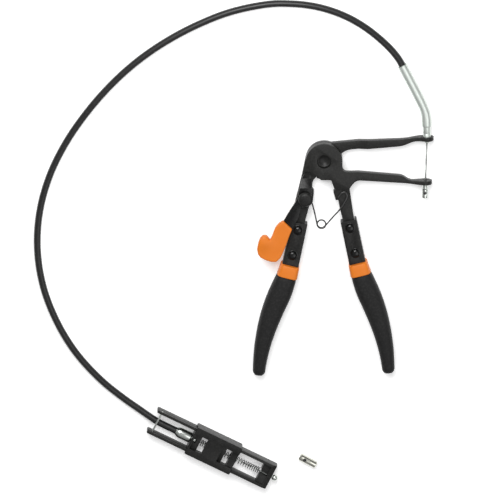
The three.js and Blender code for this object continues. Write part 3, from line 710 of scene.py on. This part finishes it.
# %% Compression spring in the head
SPRING_FROM, SPRING_TO = 42.2, 94.4
SPRING_LENGTH = SPRING_TO - SPRING_FROM
SPRING_TURNS, SPRING_MEAN, SPRING_WIRE = 26, 2.45, 0.3
STEPS_PER_TURN = 16
END_CLOSING = 0.035
spring_steps = SPRING_TURNS * STEPS_PER_TURN
spring_line = []
for i in range(spring_steps + 1):
    share = i / spring_steps
    a = 2 * math.pi * SPRING_TURNS * share
    closed_ends = share - END_CLOSING * math.sin(2 * math.pi * share)
    distance = SPRING_FROM + SPRING_WIRE + (SPRING_LENGTH - 2 * SPRING_WIRE) * closed_ends
    height = HEAD_AXIS_Z + SPRING_MEAN * math.sin(a)
    spring_line.append(head_point(distance, SPRING_MEAN * math.cos(a), height))
head_coil = sweep_piece(
    "head_coil", spring_line, SPRING_WIRE, spring_wire, "rear",
    ["head_spring"], 6,
)
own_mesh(head_coil)

# %% [markdown]
# ## Wire
#
# The inner wire is a small rope: six strands laid round a seventh. The strands are only 0.4 mm
# thick, but their twist is what makes the bare wire glitter, so they are real geometry.

# %% Stranded wire
STRAND_RADIUS, STRAND_PITCH, STRANDS = 0.2, 6.0, 6
STRAND_SIDES, STEPS_PER_PITCH, CORE_STEPS = 6, 14, 4
STRAND_SWELL, CORE_SWELL = 1.04, 1.1


def stranded_wire(name, start, end, body, nodes):
    length = (end - start).length / MM
    along = (end - start).normalized()
    side, up = square_to(along)
    steps = max(8, round(length / STRAND_PITCH * STEPS_PER_PITCH))
    shape = bmesh.new()
    for strand in range(STRANDS):
        phase = 2 * math.pi * strand / STRANDS
        line = []
        for i in range(steps + 1):
            a = phase + 2 * math.pi * length * i / steps / STRAND_PITCH
            outwards = (side * math.cos(a) + up * math.sin(a)) * (2 * STRAND_RADIUS * MM)
            line.append(start + (end - start) * (i / steps) + outwards)
        radii = [STRAND_RADIUS * STRAND_SWELL * MM] * len(line)
        skin(shape, swept_rings(line, radii, STRAND_SIDES))
    core = [start + (end - start) * (i / CORE_STEPS) for i in range(CORE_STEPS + 1)]
    core_radii = [STRAND_RADIUS * CORE_SWELL * MM] * len(core)
    skin(shape, swept_rings(core, core_radii, STRAND_SIDES))
    return dressed(name, shape, bare_strands, body, nodes)


UPPER_EYE, LOWER_EYE = metres((80.3, 17.6, 7.75)), metres((79.2, -17.9, 7.75))
WIRE_IN_STOP, WIRE_IN_SLEEVE = 4 * MM, 18.5 * MM
HEAD_WIRE_FROM, HEAD_WIRE_TO = 41.7, 105.7
jaw_along = (UPPER_EYE - LOWER_EYE).normalized()
jaw_strands = stranded_wire(
    "jaw_strands", LOWER_EYE - jaw_along * WIRE_IN_STOP, UPPER_EYE + jaw_along * WIRE_IN_SLEEVE,
    "wire", ["jaw_wire"],
)
head_strands = stranded_wire(
    "head_strands", head_point(HEAD_WIRE_FROM, 0, HEAD_AXIS_Z),
    head_point(HEAD_WIRE_TO, 0, HEAD_AXIS_Z), "frame", ["head_wire"],
)
print("strands:", [len(wire.data.polygons) for wire in (jaw_strands, head_strands)], "faces")

# %% [markdown]
# ## Cable fittings
#
# At the pliers the cable enters a bent aluminium sleeve with an open mouth. A thin neck joins
# the sleeve to the eyelet. At the head a zinc ferrule with a tapered back is crimped on the
# sheath. The wire ends in a cast ball.

# %% Sleeve
GUIDE_LINE = [
    (80.1, 27.2, 7.75), (79.8, 33, 7.75), (78.9, 39, 7.6), (76.3, 45.5, 7.2),
    (71.6, 55, 6.3), (66.3, 65.3, 5.4), (60.9, 75.7, 4.9),
]
GUIDE_STEPS, SLEEVE_SIDES = 7, 32
guide_line = smooth_line([metres(place) for place in GUIDE_LINE], GUIDE_STEPS)
SLEEVE_RADIUS = 3.9
PINCH_DEPTH, PINCH_PLACE, PINCH_SPREAD = 0.22, 0.42, 0.12


def sleeve_radius(share):
    """Full at the lower end, slightly pinched past the bend, full again at the mouth."""
    pinch = PINCH_DEPTH * math.exp(-(((share - PINCH_PLACE) / PINCH_SPREAD) ** 2))
    return SLEEVE_RADIUS - pinch


shares = [i / (len(guide_line) - 1) for i in range(len(guide_line))]
sleeve_radii = [sleeve_radius(share) * MM for share in shares]
sleeve_rings = swept_rings(guide_line, sleeve_radii, SLEEVE_SIDES)


def shrunk(ring, factor, shift):
    """A ring brought in towards its own middle and moved, for a rounded end or a mouth."""
    middle = sum(ring, Vector()) / len(ring)
    return [middle + (point - middle) * factor + shift for point in ring]


mouth = sleeve_rings[-1]
into = (guide_line[-4] - guide_line[-1]).normalized()
lower = sleeve_rings[0]
sleeve_rings = [
    shrunk(lower, 0.66, Vector()), shrunk(lower, 0.92, Vector()), *sleeve_rings[1:-1],
    mouth, shrunk(mouth, 0.97, into * -0.15 * MM), shrunk(mouth, 0.9, into * -0.15 * MM),
    shrunk(mouth, 0.84, Vector()), shrunk(mouth, 0.8, into * 2.5 * MM),
]
sleeve_shape = bmesh.new()
skin(sleeve_shape, sleeve_rings)
dressed("sleeve_bent", sleeve_shape, satin_aluminium, "rear", ["cable_sleeve"])

# %% Neck
NECK_SIDES = 40
NECK_PROFILE = [
    (1.2, -3.3), (1.8, -3.3), (2.1, -2.0), (2.9, -1.0), (3.0, 0), (3.0, 3.6), (2.86, 3.9),
    (2.86, 4.4), (3.0, 4.7), (3.0, 9.4), (1.2, 9.4),
]
neck_shape = bmesh.new()
neck_along = metres(GUIDE_LINE[0]) - UPPER_EYE
skin(neck_shape, turned_rings(NECK_PROFILE, UPPER_EYE, neck_along, NECK_SIDES))
dressed("neck_turned", neck_shape, satin_aluminium, "rear", ["guide_neck"])
print("sleeve:", len(sleeve_rings), "rings")

# %% Ferrule
FERRULE_FROM, FERRULE_SIDES = 21, 48
FERRULE_PROFILE = [
    (2.7, -0.3), (2.95, -0.25), (3.1, 0.1), (3.45, 0.8), (3.85, 1.7), (4.15, 2.6), (4.3, 3.6),
    (4.3, 11.9), (4.2, 12.3), (3.9, 12.6), (2.6, 12.6), (2.6, 16.7), (2.3, 17.0), (0.75, 17.0),
    (0.75, 0.05),
]
ferrule_shape = bmesh.new()
ferrule_start = head_point(FERRULE_FROM, 0, HEAD_AXIS_Z)
skin(ferrule_shape, turned_rings(FERRULE_PROFILE, ferrule_start, HEAD_ALONG, FERRULE_SIDES))
dressed("ferrule_turned", ferrule_shape, bright_zinc, "rear", ["head_ferrule"])

# %% Ball
BALL_FROM, BALL_SIDES, BALL_STEPS = 104.8, 40, 14
BALL_RADIUS, BALL_COLLAR, BALL_CENTRE = 2.5, 1.6, 2.95
ball_arc = [math.radians(40 + 140 * i / BALL_STEPS) for i in range(BALL_STEPS + 1)]
ball_profile = [(0.6, 0.3), (BALL_COLLAR, 0.3)] + [
    (max(BALL_RADIUS * math.sin(a), 0.03), BALL_CENTRE - BALL_RADIUS * math.cos(a))
    for a in ball_arc
]
ball_shape = bmesh.new()
ball_start = head_point(BALL_FROM, 0, HEAD_AXIS_Z)
skin(ball_shape, turned_rings(ball_profile, ball_start, HEAD_ALONG, BALL_SIDES))
dressed("ball_cast", ball_shape, bright_zinc, "frame", ["wire_ball"])

# %% [markdown]
# ## Grips and collars
#
# The handles were dipped in soft vinyl: the grip has a full, rounded section that flattens and
# narrows to a round tip, with no seam. It is lofted from rounded sections set square to the
# grip's own bent line. The orange collar above it is the same loft with flatter faces and a
# rolled lip, and flares towards the grip.

# %% Loft with rounded sections
SECTION_SIDES = 40
LEFT_DROP = 1.8
GRIP_MIDDLE_Z = 8.5


def section(centre, tangent, half_width, half_height, squareness):
    """A superellipse: a squareness of two is an ellipse, and more fills its corners."""
    across = Vector((-tangent.y, tangent.x, 0)).normalized()
    power = 2 / squareness
    ring = []
    for i in range(SECTION_SIDES):
        a = 2 * math.pi * i / SECTION_SIDES
        c, s = math.cos(a), math.sin(a)
        ring.append(
            centre
            + across * (math.copysign(abs(c) ** power, c) * half_width)
            + UP * (math.copysign(abs(s) ** power, s) * half_height)
        )
    return ring


def sided(points, side):
    """A list for the right handle, or mirrored for the left one, which sits lower."""
    drop = LEFT_DROP if side < 0 else 0
    return [(side * x, y - drop, *rest) for x, y, *rest in points]


# %% Grips
GRIP_STATIONS = [
    (29, -93, 8.1, 8.0), (34.2, -106.5, 9, 8.4), (38.9, -118, 8.7, 8.4), (43.2, -130.5, 7.9, 8.3),
    (46.6, -143, 6.9, 8.0), (49, -155, 6, 7.5), (50.4, -166, 5.2, 6.9), (51.1, -174.9, 4.9, 6.4),
]
GRIP_STEPS, GRIP_SQUARENESS = 6, 2.7
TIP_LENGTH, TIP_END = 5.0, 0.04
LIP_DEPTH, LIP_LENGTH = 0.05, 0.7


def grip(side, word, body):
    stations = [Vector(station) for station in sided(GRIP_STATIONS, side)]
    line = smooth_line(stations, GRIP_STEPS)
    lengths = [0.0]
    for a, b in zip(line, line[1:]):
        lengths.append(lengths[-1] + math.hypot(b.x - a.x, b.y - a.y))
    rings = []
    for i, at in enumerate(line):
        ahead, behind = line[min(i + 1, len(line) - 1)], line[max(i - 1, 0)]
        tangent = Vector((ahead.x - behind.x, ahead.y - behind.y, 0))
        left = lengths[-1] - lengths[i]
        closing = math.sqrt(max(0.0, 1 - (1 - min(left / TIP_LENGTH, 1)) ** 2))
        start_lip = 1 - LIP_DEPTH * math.exp(-lengths[i] / LIP_LENGTH)
        shrink = max(closing, TIP_END) * start_lip
        centre = Vector((at.x, at.y, GRIP_MIDDLE_Z)) * MM
        half_width, half_height = at.z * shrink * MM, at.w * shrink * MM
        rings.append(section(centre, tangent, half_width, half_height, GRIP_SQUARENESS))
    shape = bmesh.new()
    skin(shape, rings)
    return dressed(f"{word}_grip_dipped", shape, grip_vinyl, body, [f"{word}_grip"])


# %% Collars
COLLAR_STATIONS = [
    (26.45, -83.3, 6.9, 7.2), (26.5, -83.5, 7.25, 7.6), (26.6, -83.9, 7.5, 7.8),
    (27.5, -87.8, 7.75, 7.9), (28.6, -91.6, 8.1, 8.1), (28.8, -92.3, 8.15, 8.1),
    (28.9, -92.6, 7.9, 7.9),
]
COLLAR_SQUARENESS = 4.2


def collar(side, word, body):
    stations = sided(COLLAR_STATIONS, side)
    tangent = Vector((stations[4][0] - stations[2][0], stations[4][1] - stations[2][1], 0))
    rings = [
        section(Vector((x, y, GRIP_MIDDLE_Z)) * MM, tangent, w * MM, h * MM, COLLAR_SQUARENESS)
        for x, y, w, h in stations
    ]
    shape = bmesh.new()
    skin(shape, rings)
    name = f"{word}_collar_dipped"
    return dressed(name, shape, orange_vinyl, body, [f"{word}_collar"])


dipped = []
for side, word, body in ((-1, "left", "rear"), (1, "right", "front")):
    dipped += [grip(side, word, body), collar(side, word, body)]
print("dipped:", [made.name for made in dipped])

# %% [markdown]
# ## Latch cap
#
# The thumb lever is dipped in orange vinyl, which fills its corners and rounds it like a pebble.
# A bevel can't do that on a hooked outline. The plain slab is remeshed into small even cells and
# relaxed, which is how the liquid vinyl behaved, and the hook's lobe is lifted a little.

# %% Plain slab
CAP_OUTLINE = [
    (-31.8, -47.3), (-25, -54), (-26.4, -57.5), (-27.8, -61.5), (-29.3, -66), (-32.2, -73.5),
    (-34.2, -77.6), (-37.2, -80.6), (-41.4, -80.6), (-46, -79.1), (-49.8, -77), (-51.8, -74),
    (-52.4, -70.2), (-51.6, -65.8), (-50.2, -61.6), (-47.8, -59.2), (-45, -59.3), (-43.3, -61),
    (-42.3, -63.1), (-41.2, -61), (-39.7, -57.2), (-38.4, -53.6), (-36.8, -51), (-34.6, -48.9),
]
CAP_LOW, CAP_HIGH = 12.75, 17.9
cap_shape = bmesh.new()
cap_rings = [[metres((x, y, z)) for x, y in CAP_OUTLINE] for z in (CAP_LOW, CAP_HIGH)]
skin(cap_shape, cap_rings)
bmesh.ops.triangulate(cap_shape, faces=[f for f in cap_shape.faces if len(f.verts) > 4])
cap = dressed("latch_cap_dipped", cap_shape, orange_vinyl, None)

# %% Rounded cap
CAP_CELL = 0.45 * MM
RELAX_ROUNDS = 14
remesh = cap.modifiers.new("even_cells", "REMESH")
remesh.mode = "VOXEL"
remesh.voxel_size = CAP_CELL
relax = cap.modifiers.new("relax", "SMOOTH")
relax.factor = 0.5
relax.iterations = RELAX_ROUNDS
settled_mesh = bpy.data.meshes.new_from_object(
    cap.evaluated_get(bpy.context.evaluated_depsgraph_get())
)
cap.modifiers.clear()
cap.data = settled_mesh
for polygon in settled_mesh.polygons:
    polygon.use_smooth = True
LOBE, LOBE_REACH, LOBE_LIFT = metres((-47.2, -64.5, 0)), 6.5 * MM, 1.7 * MM
for vertex in settled_mesh.vertices:
    away = math.hypot(vertex.co.x - LOBE.x, vertex.co.y - LOBE.y) / LOBE_REACH
    above = max(0.0, vertex.co.z / MM - CAP_LOW) / (CAP_HIGH - CAP_LOW)
    vertex.co.z += LOBE_LIFT * above * math.exp(-away * away)
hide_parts("latch_cap")
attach(cap, "latch")
print("latch cap:", len(settled_mesh.polygons), "faces")

# %% [markdown]
# ## Floor and light
#
# The tool lies on a plain pale sheet, lit faintly from below as product photographers do to keep
# shadows light. A large soft box stands behind it and a weaker one in front. The room is bright
# overhead and darker at the sides, so that round metal shows dark edges.

# %% Floor
FLOOR_HALF, FLOOR_Z = 3.0, -0.0001
CORNERS = ((-1, -1), (1, -1), (1, 1), (-1, 1))
floor_shape = bmesh.new()
floor_shape.faces.new([
    floor_shape.verts.new((x * FLOOR_HALF, y * FLOOR_HALF, FLOOR_Z)) for x, y in CORNERS
])
floor_mesh = bpy.data.meshes.new("floor")
floor_shape.to_mesh(floor_mesh)
floor = bpy.data.objects.new("floor", floor_mesh)
bpy.context.scene.collection.objects.link(floor)
floor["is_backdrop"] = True
paper = bpy.data.materials.new("paper")
paper.use_nodes = True
paper_shader = paper.node_tree.nodes["Principled BSDF"]
paper_shader.inputs["Base Color"].default_value = (0.93, 0.93, 0.93, 1)
paper_shader.inputs["Roughness"].default_value = 0.9
paper_shader.inputs["Specular IOR Level"].default_value = 0.1
paper_shader.inputs["Emission Color"].default_value = (1, 1, 1, 1)
paper_shader.inputs["Emission Strength"].default_value = 0.32
floor_mesh.materials.append(paper)

# %% Room
room = bpy.data.worlds.new("room")
bpy.context.scene.world = room
room.use_nodes = True
sky = room.node_tree
sky_place = sky.nodes.new("ShaderNodeTexCoord")
sky_split = sky.nodes.new("ShaderNodeSeparateXYZ")
sky.links.new(sky_place.outputs["Generated"], sky_split.inputs[0])
sky_ramp = sky.nodes.new("ShaderNodeValToRGB")
sky.links.new(sky_split.outputs["Z"], sky_ramp.inputs["Fac"])
ROOM_SHADES = [(0.0, 0.16), (0.3, 0.3), (0.62, 0.5), (0.86, 0.78), (1.0, 0.85)]
while len(sky_ramp.color_ramp.elements) < len(ROOM_SHADES):
    sky_ramp.color_ramp.elements.new(0.5)
for stop, (height, shade) in zip(sky_ramp.color_ramp.elements, ROOM_SHADES):
    stop.position = height
    stop.color = (shade, shade, shade, 1)
sky.links.new(sky_ramp.outputs["Color"], sky.nodes["Background"].inputs["Color"])
ROOM_STRENGTH = 0.6
sky.nodes["Background"].inputs["Strength"].default_value = ROOM_STRENGTH

# %% Soft boxes
def soft_box(name, place, power, size):
    data = bpy.data.lights.new(name, "AREA")
    data.energy = power
    data.size = size
    made = bpy.data.objects.new(name, data)
    made.location = place
    made.rotation_euler = (LOOK_AT - Vector(place)).to_track_quat("-Z", "Y").to_euler()
    bpy.context.scene.collection.objects.link(made)
    return made


boxes = (
    soft_box("key_box", place=(-0.2, 0.8, 1.25), power=20, size=0.8),
    soft_box("fill_box", place=(0.7, -0.4, 1.4), power=5, size=1.0),
)
bpy.context.scene.view_settings.view_transform = "Standard"
print("soft boxes:", [box.name for box in boxes])

# %% [markdown]
# ## Size and finish
#
# The finished model's box is measured, and how far its top corner lies past the frame's box is
# printed.

# %% Measure the growth
new_low, new_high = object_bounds()
growth = [round((b - a) / MM, 2) for a, b in zip(cad_high, new_high)]
print("grew by", growth, "mm at the top corner")
